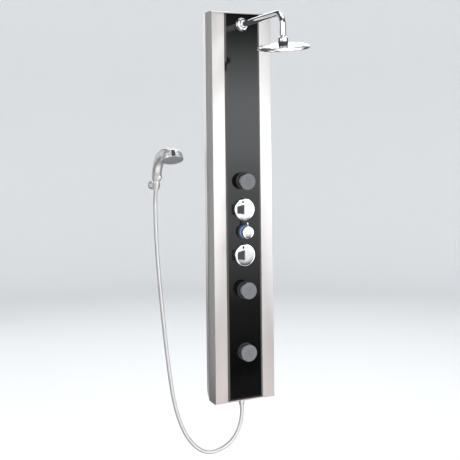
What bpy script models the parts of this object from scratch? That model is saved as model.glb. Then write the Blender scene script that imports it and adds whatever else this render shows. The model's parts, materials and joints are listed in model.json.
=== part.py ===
"""Wall-hung rainfall shower column: a folded steel panel with a glass strip, an overhead rain head on an
arm, three body jets, three controls, and a hand shower on its own wall bracket, joined by a hose.

Metres, +Z up. The wall is the plane y = 0 and the room is on its -Y side, so a distance out from the wall
is -y. The origin is the middle of the upper wall bracket's back face.
"""

import math

import bmesh
import bpy
from mathutils import Euler, Matrix, Quaternion, Vector

# Panel
PANEL_HEIGHT = 1.500
PANEL_WIDTH = 0.250
PANEL_OUT = 0.072
PANEL_TOP = 0.150
SHEET = 0.002
SIDE_OUT = 0.0085
FLARE = 0.0065
FLARE_SLANT = 0.038
EDGE_CHAMFER = 0.008
GLASS_WIDTH = 0.147
GLASS_HEIGHT = 1.485
GLASS = 0.0032
GAP = 0.0003

PANEL_BOTTOM = PANEL_TOP - PANEL_HEIGHT
INSIDE_OUT = PANEL_OUT - SHEET
GLASS_OUT = PANEL_OUT + GAP + GLASS
FRONT = GLASS_OUT + GAP

# Heights above the panel's lower edge
ARM_UP = 1.451
JETS_UP = (0.850, 0.429, 0.1925)
FLOW_UP = 0.7395
TEMPERATURE_UP = 0.654
DIVERTER_UP = 0.564
LOWER_BRACKET_UP = 0.150
OUTLET_OUT = 0.034

# Rain head
ARM_RADIUS = 0.011
ARM_REACH = 0.412
ARM_BEND = 0.048
ARM_BORE_OUT = 0.0453
HEAD_PIVOT_UP = 1.358
HEAD_RADIUS = 0.092
HEAD_LEAN = math.radians(14)
LEAN_TOWARDS = Vector((-0.581, -0.814, 0)).normalized()
HEAD_BALL = 0.009
HEAD_CAVITY = 0.011
STEM_TOP = 0.0102

# Body jets: the ball's centre, and how each nozzle points at rest (turned left, raised)
JET_OUT = 0.075
JET_BALL = 0.024
JET_SOCKET = 0.0244
JET_REST = ((0, math.radians(-4)), (0, math.radians(4)), (math.radians(-4), math.radians(3)))

# Controls
KNOB_RADIUS = 0.043
SPINDLE = 0.0047
CARTRIDGE_BACK = 0.0403

# Pipes inside the panel
PIPE = 0.006
PIPE_OUT = 0.036
PIPE_SIDE = 0.050
INLET_SPACING = 0.150

# Hand shower and its wall bracket
BRACKET_X = -0.346
BRACKET_UP = 0.841
HOLDER_OUT = 0.048
HOLDER_LEAN = math.radians(11)
FACE_OUT = 0.230
FACE_UP = 0.939
FACE_DOWN = math.radians(65)
FACE_TURN = math.radians(-7)
TAB_TURN = math.radians(95)
TAB_WIDTH = 0.014

# Hose: its route from the panel's outlet round to the hand shower
HOSE_RADIUS = 0.007
HOSE_STEP = 0.030
HOSE_ROUTE = (
    (0.0000, -0.0340, -1.3773), (0.0010, -0.0340, -1.4020), (-0.0080, -0.0340, -1.4510),
    (-0.0337, -0.0340, -1.4980), (-0.0773, -0.0340, -1.5290), (-0.1318, -0.0345, -1.5380),
    (-0.1813, -0.0350, -1.5180), (-0.2267, -0.0350, -1.4660), (-0.2587, -0.0350, -1.3960),
    (-0.2793, -0.0350, -1.3210), (-0.2940, -0.0350, -1.2320), (-0.3081, -0.0352, -1.1180),
    (-0.3212, -0.0355, -0.9910), (-0.3323, -0.0358, -0.8670), (-0.3411, -0.0360, -0.7440),
    (-0.3450, -0.0362, -0.6400), (-0.3460, -0.0375, -0.5640), (-0.3460, -0.0441, -0.5289),
)

OUTWARD = (math.pi / 2, 0, 0)
PARTS = "rainfall_shower_column"
CUTTERS = "cutters"

FINISHES = {
    "steel": ((0.62, 0.61, 0.60), 0.34, 1.0),
    "glass": ((0.012, 0.012, 0.014), 0.06, 0.0),
    "chrome": ((0.86, 0.87, 0.88), 0.08, 1.0),
    "black": ((0.02, 0.02, 0.022), 0.4, 0.0),
    "jet_grey": ((0.17, 0.18, 0.20), 0.45, 0.0),
    "nozzle_grey": ((0.42, 0.43, 0.45), 0.5, 0.0),
    "blue": ((0.05, 0.22, 0.62), 0.3, 0.0),
    "brass": ((0.60, 0.46, 0.22), 0.35, 1.0),
    "seal": ((0.03, 0.03, 0.03), 0.7, 0.0),
    "hose": ((0.70, 0.71, 0.72), 0.25, 1.0),
    "zinc": ((0.55, 0.56, 0.58), 0.45, 1.0),
}


# Scene helpers

def clear_scene():
    for old in list(bpy.data.objects):
        bpy.data.objects.remove(old)
    for name in (PARTS, CUTTERS):
        bpy.context.scene.collection.children.link(bpy.data.collections.new(name))


def finish(name):
    found = bpy.data.materials.get(name)
    if found:
        return found
    colour, roughness, metallic = FINISHES[name]
    made = bpy.data.materials.new(name)
    made.use_nodes = True
    shader = made.node_tree.nodes["Principled BSDF"]
    shader.inputs["Base Color"].default_value = (*colour, 1)
    shader.inputs["Roughness"].default_value = roughness
    shader.inputs["Metallic"].default_value = metallic
    return made


def add(name, data, look, at=(0, 0, 0), turn=(0, 0, 0), parent=None):
    """A part of the shower, or with no look a cutter."""
    made = bpy.data.objects.new(name, data)
    made.location = at
    made.rotation_euler = turn
    made.parent = parent
    bpy.data.collections[PARTS if look else CUTTERS].objects.link(made)
    if look:
        data.materials.append(finish(look))
    else:
        made.hide_render = True
        made.display_type = "WIRE"
    return made


def pivot(name, at, turn=None):
    made = bpy.data.objects.new(name, None)
    made.location = at
    if turn:
        made.rotation_mode = "QUATERNION"
        made.rotation_quaternion = turn
    bpy.data.collections[PARTS].objects.link(made)
    return made


def up(height):
    """A height above the panel's lower edge, as z."""
    return PANEL_BOTTOM + height


def on_wall(x, height, out=0.0):
    return (x, -out, up(height))


def mesh_from(work):
    data = bpy.data.meshes.new("shape")
    bmesh.ops.recalc_face_normals(work, faces=work.faces)
    work.to_mesh(data)
    work.free()
    return data


def boxes(*spans):
    """Boxes, each from its low to its high corner."""
    work = bmesh.new()
    for low, high in spans:
        low, high = Vector(low), Vector(high)
        place = Matrix.Translation((low + high) / 2) @ Matrix.Diagonal((*(high - low), 1))
        bmesh.ops.create_cube(work, size=1, matrix=place)
    return mesh_from(work)


def rods(*runs, segments=16):
    """Round rods, each from one point to another with a radius."""
    work = bmesh.new()
    for start, end, radius in runs:
        start, end = Vector(start), Vector(end)
        along = end - start
        place = Matrix.Translation((start + end) / 2) @ along.to_track_quat("Z", "Y").to_matrix().to_4x4()
        bmesh.ops.create_cone(
            work, cap_ends=True, segments=segments, radius1=radius, radius2=radius,
            depth=along.length, matrix=place,
        )
    return mesh_from(work)


def turned(name, profile, look, at, turn=OUTWARD, parent=None, segments=20):
    """A profile of (radius, height) points, its outer side running down, turned about its own Z."""
    closed = profile[0][0] > 0 or profile[-1][0] > 0
    count = len(profile)
    edges = [(i, (i + 1) % count) for i in range(count if closed else count - 1)]
    data = bpy.data.meshes.new(name)
    data.from_pydata([(radius, 0, height) for radius, height in profile], edges, [])
    made = add(name, data, look, at, turn, parent)
    spin = made.modifiers.new("turn", "SCREW")
    spin.steps = spin.render_steps = segments
    spin.use_merge_vertices = True
    spin.merge_threshold = 1e-5
    spin.use_smooth_shade = True
    return made


def ball_arc(radius, start, end, steps=6):
    """Points on a ball's outline between two heights from its centre."""
    first, last = math.acos(start / radius), math.acos(end / radius)
    angles = [first + (last - first) * i / steps for i in range(steps + 1)]
    return [(radius * math.sin(a), radius * math.cos(a)) for a in angles]


def tube(name, points, radius, look, radii=None, sides=2):
    curve = bpy.data.curves.new(name, "CURVE")
    curve.dimensions = "3D"
    curve.bevel_depth = radius
    curve.bevel_resolution = sides
    curve.use_fill_caps = True
    run = curve.splines.new("POLY")
    run.points.add(len(points) - 1)
    for i, place in enumerate(points):
        run.points[i].co = (*place, 1)
        run.points[i].radius = radii[i] / radius if radii else 1
    return add(name, curve, look)


def as_mesh(curve):
    """The same tube as a closed mesh, which a Boolean can take."""
    bpy.context.view_layer.update()
    name, look = curve.name, curve.data.materials[0].name
    solid = bpy.data.meshes.new_from_object(curve.evaluated_get(bpy.context.evaluated_depsgraph_get()))
    work = bmesh.new()
    work.from_mesh(solid)
    bmesh.ops.remove_doubles(work, verts=work.verts, dist=1e-6)
    work.to_mesh(solid)
    work.free()
    place = curve.matrix_world.copy()
    bpy.data.objects.remove(curve)
    solid.materials.clear()
    made = add(name, solid, look)
    made.matrix_world = place
    return made


def extruded(name, outline, half_width, look, at):
    """An outline of (out, up) points, extruded both ways along X."""
    curve = bpy.data.curves.new(name, "CURVE")
    curve.dimensions = "2D"
    curve.fill_mode = "BOTH"
    curve.extrude = half_width
    run = curve.splines.new("POLY")
    run.points.add(len(outline) - 1)
    for i, (out, height) in enumerate(outline):
        run.points[i].co = (height, out, 0, 1)
    run.use_cyclic_u = True
    made = add(name, curve, look, at)
    made.rotation_euler = Matrix(((0, 0, 1), (0, -1, 0), (1, 0, 0))).to_euler()
    return made


def combine(piece, other, how):
    step = piece.modifiers.new(how.lower(), "BOOLEAN")
    step.operation = how
    step.object = other
    return piece


def join(piece, data, at=(0, 0, 0), turn=(0, 0, 0), parent=None):
    return combine(piece, add(piece.name + "_join", data, None, at, turn, parent), "UNION")


def cut(piece, data, at=(0, 0, 0), turn=(0, 0, 0), parent=None):
    return combine(piece, add(piece.name + "_cut", data, None, at, turn, parent), "DIFFERENCE")


def smooth_path(route, step):
    """Points about one step apart on a Catmull-Rom curve through the route."""
    knots = [Vector(place) for place in route]
    knots = [2 * knots[0] - knots[1], *knots, 2 * knots[-1] - knots[-2]]
    points = []
    for a, b, c, d in zip(knots, knots[1:], knots[2:], knots[3:]):
        count = max(1, round((c - b).length / step))
        for i in range(count):
            t = i / count
            points.append(
                0.5 * (2 * b + (c - a) * t + (2 * a - 5 * b + 4 * c - d) * t**2
                       + (3 * b - 3 * c + d - a) * t**3)
            )
    return [*points, knots[-2]]


def rounded_path(corners, radius, steps=5):
    """A path of straight runs with each corner rounded."""
    corners = [Vector(place) for place in corners]
    points = [corners[0]]
    for before, corner, after in zip(corners, corners[1:], corners[2:]):
        inward = (before - corner).normalized()
        outward = (after - corner).normalized()
        half = inward.angle(outward) / 2
        back = radius / math.tan(half)
        centre = corner + (inward + outward).normalized() * radius / math.sin(half)
        first = corner + inward * back - centre
        last = corner + outward * back - centre
        sweep = first.angle(last)
        for i in range(steps + 1):
            share = i / steps
            points.append(
                centre + (first * math.sin((1 - share) * sweep) + last * math.sin(share * sweep))
                / math.sin(sweep)
            )
    return [*points, corners[-1]]


# Panel

def front_holes():
    """Rods that clear the panel and the glass for everything that passes through them."""
    sizes = [(ARM_UP, 0.0120), (FLOW_UP, 0.0142), (TEMPERATURE_UP, 0.0175), (DIVERTER_UP, 0.0142)]
    sizes += [(height, 0.0260) for height in JETS_UP]
    return rods(*[(on_wall(0, height, 0.060), on_wall(0, height, 0.090), radius)
                  for height, radius in sizes], segments=24)


def column_shell():
    """A folded pan, open at the back, whose sides turn out at the wall."""
    half = PANEL_WIDTH / 2
    work = bmesh.new()
    low, high = Vector((-half, -PANEL_OUT, PANEL_BOTTOM)), Vector((half, -SIDE_OUT, PANEL_TOP))
    place = Matrix.Translation((low + high) / 2) @ Matrix.Diagonal((*(high - low), 1))
    bmesh.ops.create_cube(work, size=1, matrix=place)
    back = max(work.faces, key=lambda face: face.calc_center_median().y)
    bmesh.ops.delete(work, geom=[back], context="FACES_ONLY")
    for side in (-1, 1):
        rear = [e for e in work.edges if all(v.co.y > -SIDE_OUT - 1e-4 and v.co.x * side > half - 1e-4
                                             for v in e.verts)]
        grown = bmesh.ops.extrude_edge_only(work, edges=rear)["geom"]
        for corner in (g for g in grown if isinstance(g, bmesh.types.BMVert)):
            slant = FLARE_SLANT if corner.co.z < 0 else 0
            corner.co += Vector((side * FLARE, FLARE, slant))
    folds = [e for e in work.edges if all(v.co.y < -PANEL_OUT + 1e-4 for v in e.verts)
             and abs(e.verts[0].co.z - e.verts[1].co.z) < 1e-4]
    bmesh.ops.bevel(work, geom=folds, offset=EDGE_CHAMFER, offset_type="OFFSET", segments=2, profile=0.5,
                    affect="EDGES")
    bmesh.ops.recalc_face_normals(work, faces=work.faces)
    data = bpy.data.meshes.new("column_shell")
    work.to_mesh(data)
    work.free()
    shell = add("column_shell", data, "steel")
    wall = shell.modifiers.new("sheet", "SOLIDIFY")
    wall.thickness = SHEET
    wall.offset = -1
    wall.solidify_mode = "NON_MANIFOLD"
    wall.nonmanifold_thickness_mode = "CONSTRAINTS"
    cut(shell, front_holes())
    cut(shell, rods((on_wall(0, -0.010, OUTLET_OUT), on_wall(0, 0.010, OUTLET_OUT), 0.0092)))


def glass_fascia():
    half = GLASS_WIDTH / 2
    margin = (PANEL_HEIGHT - GLASS_HEIGHT) / 2
    low = (-half, -GLASS_OUT, PANEL_BOTTOM + margin)
    high = (half, -PANEL_OUT - GAP, PANEL_TOP - margin)
    pane = add("glass_fascia", boxes((low, high)), "glass")
    edge = pane.modifiers.new("ground_edge", "BEVEL")
    edge.width = 0.001
    edge.segments = 1
    cut(pane, front_holes())


def wall_hanger(name, height):
    """A bracket screwed to the wall, and the rail in the panel that hooks over its lip."""
    bracket = extruded(
        f"wall_bracket_{name}",
        ((0, -0.020), (0.003, -0.020), (0.003, 0.014), (0.0115, 0.014), (0.0115, 0.034),
         (0.0090, 0.034), (0.0090, 0.0165), (0, 0.0165)),
        0.100, "zinc", on_wall(0, height),
    )
    bracket = as_mesh(bracket)
    cut(bracket, rods(*[(on_wall(x, height - 0.004, -0.01), on_wall(x, height - 0.004, 0.01), 0.003)
                        for x in (-0.08, 0.08)], segments=16))
    extruded(
        f"hanger_rail_{name}",
        ((0.0118, 0.002), (0.0143, 0.002), (0.0143, 0.0370), (0.0060, 0.0370), (0.0060, 0.0240),
         (0.0087, 0.0240), (0.0087, 0.0345), (0.0118, 0.0345)),
        PANEL_WIDTH / 2 - SHEET - GAP, "steel", on_wall(0, height),
    )


# Rain head and arm

def head_pivot():
    return Vector((0, -ARM_REACH, up(HEAD_PIVOT_UP)))


def shower_arm():
    centre = head_pivot()
    corners = (on_wall(0, ARM_UP, ARM_BORE_OUT), on_wall(0, ARM_UP, ARM_REACH),
               centre + Vector((0, 0, STEM_TOP + GAP)))
    tube("shower_arm", rounded_path(corners, ARM_BEND, 9), ARM_RADIUS, "chrome", sides=4)
    turned("arm_flange", [
        (0.0225, FRONT + 0.0095), (0.0240, FRONT + 0.0050), (0.0240, FRONT + 0.0030),
        (0.0255, FRONT + 0.0025), (0.0255, FRONT), (ARM_RADIUS + GAP, FRONT),
        (ARM_RADIUS + GAP, FRONT + 0.011), (0.0190, FRONT + 0.011),
    ], "chrome", on_wall(0, ARM_UP))


def arm_elbow():
    """Takes water from the riser below into the arm's inner end."""
    elbow = add("arm_elbow", rods((on_wall(0, ARM_UP, 0.030), on_wall(0, ARM_UP, INSIDE_OUT - GAP), 0.0145)),
                "brass")
    join(elbow, rods((on_wall(0, ARM_UP - 0.026, 0.042), on_wall(0, ARM_UP, 0.042), 0.0085)))
    cut(elbow, rods((on_wall(0, ARM_UP, ARM_BORE_OUT - GAP), on_wall(0, ARM_UP, 0.090), ARM_RADIUS + GAP)))


def swivel_ball():
    """The ball that the arm ends in, on its short stem."""
    stem = 0.0055
    top = math.sqrt(HEAD_BALL**2 - stem**2)
    profile = [(0, STEM_TOP), (stem, STEM_TOP), *ball_arc(HEAD_BALL, top, -HEAD_BALL * 0.999, 7)]
    turned("swivel_ball", [*profile[:-1], (0, -HEAD_BALL)], "chrome", head_pivot(), turn=(0, 0, 0))


def swivel_seal():
    """A cup seal hugging the ball from below. It turns with the head and stays level as the head tilts."""
    outer = ball_arc(0.0106, -0.0020, -0.0070, 3)
    inner = ball_arc(0.0093, -0.0070, -0.0020, 3)
    turned("swivel_seal", [*outer, *inner], "seal", head_pivot(), turn=(0, 0, 0))


def rain_head():
    """The head about its pivot, leaning as it hangs: swivel nut, collar, shell and spray plate."""
    lean_axis = Vector((0, 0, 1)).cross(LEAN_TOWARDS)
    head = pivot("rain_head_pivot", head_pivot(), Quaternion(lean_axis, HEAD_LEAN))
    nut_foot, collar_foot = -0.0080, -0.0187
    cavity = ball_arc(HEAD_CAVITY, nut_foot, 0.0065, 5)
    turned("swivel_nut", [
        (0.0102, 0.0065), (0.0136, 0.0050), (0.0162, 0.0025), (0.0175, -0.0010), (0.0175, nut_foot), *cavity,
    ], "chrome", (0, 0, 0), (0, 0, 0), head)
    turned("swivel_collar", [
        (0.0165, nut_foot - GAP), (0.0172, -0.0095), (0.0172, -0.0175), (0.0165, collar_foot),
        (0.0075, collar_foot), (0.0075, nut_foot - GAP),
    ], "black", (0, 0, 0), (0, 0, 0), head)
    top = collar_foot - GAP
    rim = HEAD_RADIUS
    turned("head_shell", [
        (0.0170, top), (0.0600, top - 0.0015), (0.0800, top - 0.0040), (0.0885, top - 0.0075),
        (rim, top - 0.0115), (rim, top - 0.0140), (rim - 0.0015, top - 0.0160),
        (rim - 0.0032, top - 0.0160), (rim - 0.0032, top - 0.0120), (0.0850, top - 0.0085),
        (0.0600, top - 0.0042), (0.0065, top - 0.0025), (0.0065, top),
    ], "chrome", (0, 0, 0), (0, 0, 0), head, segments=40)
    plate = rim - 0.0035
    turned("head_faceplate", [
        (0, top - 0.0125), (plate, top - 0.0125), (plate, top - 0.0150), (0.0860, top - 0.0158),
        (0.0300, top - 0.0168), (0, top - 0.0168),
    ], "nozzle_grey", (0, 0, 0), (0, 0, 0), head, segments=40)


# Body jets

def jet_housing(number, height):
    """The ring on the glass that holds the ball, and the cup behind the panel that feeds it."""
    name = f"jet_{number}"
    throat, lip = 0.0070, FRONT + 0.0100 - JET_OUT
    bore = [(radius, JET_OUT + out) for radius, out in ball_arc(JET_SOCKET, throat, FRONT - JET_OUT, 3)]
    turned(f"{name}_ring", [
        (0.0315, JET_OUT + lip), (0.0335, JET_OUT + lip - 0.002), (0.0335, FRONT),
        *reversed(bore), (0.0288, JET_OUT + lip),
    ], "black", on_wall(0, height))
    front, back = INSIDE_OUT - GAP, 0.0435
    turned(f"{name}_cup", [
        (0.0300, front), (0.0300, back), (0.0120, back), (0.0120, 0.0280), (0.0040, 0.0280),
        (0.0040, back + 0.003), (0.0270, back + 0.003), (0.0270, front),
    ], "black", on_wall(0, height))


def jet_nozzle(number, height, rest):
    """The ball and trumpet that the bather aims, and the seal hugging the ball that only pans with it."""
    turn, raised = rest
    centre = on_wall(0, height, JET_OUT)
    seal = [*ball_arc(0.0262, -0.0170, -0.0220, 2), *ball_arc(0.0246, -0.0220, -0.0170, 2)]
    turned(f"jet_{number}_seal", seal, "seal", centre, (math.pi / 2, 0, turn))
    neck = 0.0160
    outer = [
        (0, 0.0450), (0.0180, 0.0446), (0.0295, 0.0434), (0.0315, 0.0415), (0.0308, 0.0395),
        (0.0265, 0.0350), (0.0215, 0.0280), (0.0185, 0.0205),
    ]
    ball = ball_arc(JET_BALL, neck, -0.0180, 6)
    bore = [(0.0090, -0.0180), (0.0090, 0.0300), (0, 0.0300)]
    turned(f"jet_{number}_nozzle", [*outer, *ball, *bore], "jet_grey", centre,
           (math.pi / 2 - raised, 0, turn))


# Controls

def valve_body():
    """One casting: flow, thermostatic and diverter chambers, the hot and cold branches and the outlets."""
    front, back = INSIDE_OUT - GAP, 0.030
    chambers = [rods((on_wall(0, height, back), on_wall(0, height, front), radius))
                for height, radius in ((TEMPERATURE_UP, 0.024), (FLOW_UP, 0.020), (DIVERTER_UP, 0.020))]
    body = add("valve_body", chambers[0], "brass")
    for chamber in chambers[1:]:
        join(body, chamber)
    join(body, rods((on_wall(0, DIVERTER_UP, 0.040), on_wall(0, FLOW_UP, 0.040), 0.009)))
    side = INLET_SPACING / 2
    join(body, rods((on_wall(-side, TEMPERATURE_UP, 0.056), on_wall(side, TEMPERATURE_UP, 0.056), 0.0085)))
    for x in (-side, side):
        join(body, rods((on_wall(x, TEMPERATURE_UP, 0.017), on_wall(x, TEMPERATURE_UP, 0.0650), 0.0105)))
    join(body, rods((on_wall(-0.030, DIVERTER_UP, PIPE_OUT), on_wall(0.030, DIVERTER_UP, PIPE_OUT), 0.0075)))
    join(body, rods((on_wall(0, DIVERTER_UP - 0.028, PIPE_OUT), on_wall(0, DIVERTER_UP, PIPE_OUT), 0.0075)))
    bores = [(FLOW_UP, 0.0140), (TEMPERATURE_UP, 0.0173), (DIVERTER_UP, 0.0140)]
    cut(body, rods(*[(on_wall(0, height, CARTRIDGE_BACK - GAP), on_wall(0, height, 0.090), radius)
                     for height, radius in bores], segments=24))


def inlet_nut(name, x):
    """A union nut for a G 1/2 supply, its flat end towards the wall."""
    low, high = on_wall(x, TEMPERATURE_UP, 0.004), on_wall(x, TEMPERATURE_UP, 0.022)
    nut = add(name, rods((low, high, 0.0155), segments=6), "brass")
    cut(nut, rods((on_wall(x, TEMPERATURE_UP, 0), on_wall(x, TEMPERATURE_UP, 0.030), 0.0108)))


def cartridge(name, height, radius):
    turned(name, [(radius, FRONT - 0.0006), (radius, CARTRIDGE_BACK), (0.0050, CARTRIDGE_BACK),
                  (0.0050, FRONT - 0.0006)], "black", on_wall(0, height))


def spindle(name, height, reach):
    foot = CARTRIDGE_BACK + 2 * GAP
    turned(name, [(0, reach), (SPINDLE, reach), (SPINDLE, foot), (0, foot)], "brass", on_wall(0, height),
           segments=16)


def disc_knob(name, height):
    """A broad flat knob on its thin black base, with its spindle and cartridge behind."""
    base_top = FRONT + 0.0020
    face = base_top + GAP + 0.0085
    turned(f"{name}_base", [(0.0380, base_top), (0.0380, FRONT), (0.0060, FRONT), (0.0060, base_top)],
           "black", on_wall(0, height))
    turned(f"{name}_knob", [
        (0, face), (0.0400, face), (0.0425, face - 0.0010), (KNOB_RADIUS, face - 0.0025),
        (KNOB_RADIUS, base_top + GAP), (0.0050, base_top + GAP), (0.0050, face - 0.0030), (0, face - 0.0030),
    ], "chrome", on_wall(0, height), segments=28)
    cartridge(f"{name}_cartridge", height, 0.0137)
    spindle(f"{name}_spindle", height, face - 0.0034)


def temperature_control():
    """A long knob with a coloured dial band and a small lever pin, on a black base."""
    height = TEMPERATURE_UP
    base_top = FRONT + 0.0110
    dial_top = base_top + GAP + 0.0119
    face = dial_top + GAP + 0.0162
    hub = 0.0112
    turned("temperature_base", [(0.0285, base_top), (0.0300, base_top - 0.002), (0.0300, FRONT),
                                (0.0120, FRONT), (0.0120, base_top)], "black", on_wall(0, height))
    turned("temperature_dial", [(0.0250, dial_top), (0.0250, base_top + GAP), (0.0120, base_top + GAP),
                                (0.0120, dial_top)], "blue", on_wall(0, height))
    turned("temperature_knob", [
        (0, face), (0.0235, face), (0.0260, face - 0.0025), (0.0260, dial_top + GAP), (hub, dial_top + GAP),
        (hub, FRONT + 0.0006), (0.0050, FRONT + 0.0006), (0.0050, face - 0.0240), (0, face - 0.0240),
    ], "chrome", on_wall(0, height))
    pin = on_wall(0, height + 0.0262, face - 0.0085)
    turned("temperature_pin", [(0, 0.0120), (0.0034, 0.0112), (0.0042, 0.0095), (0.0038, 0.0), (0, 0.0)],
           "chrome", pin, (0, 0, 0), segments=16)
    cartridge("temperature_cartridge", height, 0.0170)
    spindle("temperature_spindle", height, face - 0.0244)


# Pipes

def riser_pipe():
    corners = (on_wall(-0.0303, DIVERTER_UP, PIPE_OUT), on_wall(-PIPE_SIDE, DIVERTER_UP, PIPE_OUT),
               on_wall(-PIPE_SIDE, ARM_UP - 0.085, PIPE_OUT), on_wall(0, ARM_UP - 0.045, 0.042),
               on_wall(0, ARM_UP - 0.0263, 0.042))
    tube("riser_pipe", rounded_path(corners, 0.013), PIPE, "brass")


def hand_pipe():
    corners = (on_wall(0, DIVERTER_UP - 0.0283, PIPE_OUT), on_wall(0, DIVERTER_UP - 0.052, PIPE_OUT),
               on_wall(-PIPE_SIDE, DIVERTER_UP - 0.080, PIPE_OUT), on_wall(-PIPE_SIDE, 0.085, PIPE_OUT),
               on_wall(0, 0.045, OUTLET_OUT), on_wall(0, 0.0143, OUTLET_OUT))
    tube("hand_pipe", rounded_path(corners, 0.016), PIPE, "brass")


def jet_rail():
    """A vertical pipe with a branch to each jet and one from the diverter."""
    ends = (min(JETS_UP) - 0.015, max(JETS_UP) + 0.015)
    low, high = (on_wall(PIPE_SIDE, height, PIPE_OUT) for height in ends)
    rail = add("jet_rail", rods((low, high, PIPE)), "brass")
    branches = [(0.0124, height) for height in JETS_UP] + [(0.0303, DIVERTER_UP)]
    for x, height in branches:
        branch = (on_wall(x, height, PIPE_OUT), on_wall(PIPE_SIDE, height, PIPE_OUT), 0.0052)
        join(rail, rods(branch, segments=12))


# Hose and hand shower

def hose_outlet():
    turned("hose_outlet", [
        (0, 0.0140), (0.0090, 0.0140), (0.0090, 0.0060), (0.0140, 0.0060), (0.0140, 0.0023),
        (0.0086, 0.0023), (0.0086, -0.0120), (0, -0.0120),
    ], "chrome", on_wall(0, 0, OUTLET_OUT), (0, 0, 0))


def hose():
    turned("hose_nut", [
        (0.0100, -0.0004), (0.0110, -0.0016), (0.0110, -0.0120), (0.0100, -0.0170), (0.0082, -0.0230),
        (0.0082, -0.0270), (0, -0.0270), (0, -0.0124), (0.0089, -0.0124), (0.0089, -0.0004),
    ], "chrome", on_wall(0, 0, OUTLET_OUT), (0, 0, 0))
    tube("shower_hose", smooth_path(HOSE_ROUTE, HOSE_STEP), HOSE_RADIUS, "hose")
    turned("hose_cone", [
        (0, 0.0167), (0.0121, 0.0167), (0.0125, 0.0150), (0.0125, 0.0130), (0.0108, -0.0110),
        (0.0098, -0.0140), (0.0084, -0.0200), (0, -0.0200),
    ], "chrome", on_wall(BRACKET_X, BRACKET_UP, HOLDER_OUT), (HOLDER_LEAN, 0, 0))


def wall_holder():
    """The small wall flange, and the open cup on its stout post that the hand shower rests in."""
    turned("bracket_flange", [(0, 0.0080), (0.0130, 0.0080), (0.0150, 0.0050), (0.0160, 0.0020), (0.0160, 0),
                              (0, 0)], "chrome", on_wall(BRACKET_X, BRACKET_UP))
    centre = on_wall(BRACKET_X, BRACKET_UP, HOLDER_OUT)
    tilt = (HOLDER_LEAN, 0, 0)
    holder = turned("handset_holder", [
        (0, 0.0130), (0.0150, 0.0130), (0.0158, 0.0118), (0.0142, -0.0100), (0.0134, -0.0110), (0, -0.0110),
    ], "chrome", centre, tilt)
    post = turned("handset_holder_post", [
        (0, 0.0450), (0.0118, 0.0450), (0.0114, 0.0250), (0.0122, 0.0150), (0.0138, 0.0083), (0, 0.0083),
    ], None, on_wall(BRACKET_X, BRACKET_UP))
    combine(holder, post, "UNION")
    bore = turned("handset_holder_bore", [(0, 0.0300), (0.0141, 0.0300), (0.0106, -0.0200), (0, -0.0200)],
                  None, centre, tilt)
    combine(holder, bore, "DIFFERENCE")
    cut(holder, boxes(((-0.0082, -0.040, -0.020), (0.0082, 0, 0.020))), centre, tilt)


def handset():
    """A curved handle into a domed head, a turning rim with a tab up the dome, and the spray plate."""
    face = on_wall(BRACKET_X, FACE_UP, FACE_OUT)
    looks_down = (math.pi / 2 + FACE_DOWN, 0, FACE_TURN)
    route = ((BRACKET_X, -0.0513, -0.4921), (BRACKET_X, -0.0562, -0.4700), (BRACKET_X, -0.0655, -0.4450),
             (BRACKET_X, -0.0805, -0.4220), (BRACKET_X, -0.1030, -0.4030), (BRACKET_X, -0.1335, -0.3910),
             (BRACKET_X, -0.1700, -0.3865), (BRACKET_X, -0.2110, -0.3890))
    radii = (0.0152, 0.0175, 0.0176, 0.0168, 0.0154, 0.0140, 0.0134, 0.0142)
    body = as_mesh(tube("handset_body", route, 0.013, "chrome", radii, sides=4))
    dome = turned("handset_dome", [
        (0, -0.0080), (0.0370, -0.0080), (0.0368, -0.0140), (0.0335, -0.0235), (0.0260, -0.0315),
        (0.0140, -0.0365), (0, -0.0380),
    ], None, face, looks_down, segments=28)
    combine(body, dome, "UNION")
    selector = turned("spray_selector", [(0.0378, 0.0012), (0.0390, 0), (0.0390, -0.0077), (0.0354, -0.0077),
                                         (0.0354, 0.0012)], "chrome", face, looks_down, segments=28)
    tab = turned("spray_selector_tab", [
        (0.0412, 0.0004), (0.0415, -0.0090), (0.0404, -0.0150), (0.0368, -0.0230), (0.0350, -0.0230),
        (0.0376, -0.0145), (0.0382, -0.0080), (0.0382, 0.0004),
    ], None, face, looks_down, segments=28)
    block = add("spray_selector_block", boxes(((0, -TAB_WIDTH / 2, -0.030), (0.050, TAB_WIDTH / 2, 0.010))),
                None, face)
    block.rotation_euler = (Euler(looks_down).to_matrix() @ Matrix.Rotation(TAB_TURN, 3, "Z")).to_euler()
    combine(selector, combine(tab, block, "INTERSECT"), "UNION")
    turned("spray_plate", [
        (0, 0.0020), (0.0200, 0.0018), (0.0335, 0.0008), (0.0349, -0.0006), (0.0349, -0.0077), (0, -0.0077),
    ], "nozzle_grey", face, looks_down, segments=28)


def build():
    clear_scene()
    column_shell()
    glass_fascia()
    wall_hanger("upper", PANEL_HEIGHT - PANEL_TOP)
    wall_hanger("lower", LOWER_BRACKET_UP)
    shower_arm()
    arm_elbow()
    swivel_ball()
    swivel_seal()
    rain_head()
    for number, (height, rest) in enumerate(zip(JETS_UP, JET_REST), 1):
        jet_housing(number, height)
        jet_nozzle(number, height, rest)
    valve_body()
    inlet_nut("hot_inlet_nut", -INLET_SPACING / 2)
    inlet_nut("cold_inlet_nut", INLET_SPACING / 2)
    disc_knob("flow", FLOW_UP)
    disc_knob("diverter", DIVERTER_UP)
    temperature_control()
    riser_pipe()
    hand_pipe()
    jet_rail()
    hose_outlet()
    hose()
    wall_holder()
    handset()


build()
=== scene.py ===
"""The looks of the rainfall shower column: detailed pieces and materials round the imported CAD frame.

Metres, +Z up. The wall is the plane y = 0 and the room is on its -Y side, so a distance out from the
wall is -y.
"""

import json
import math

import bmesh
import bpy
from mathutils import Euler, Matrix, Quaternion, Vector


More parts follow.
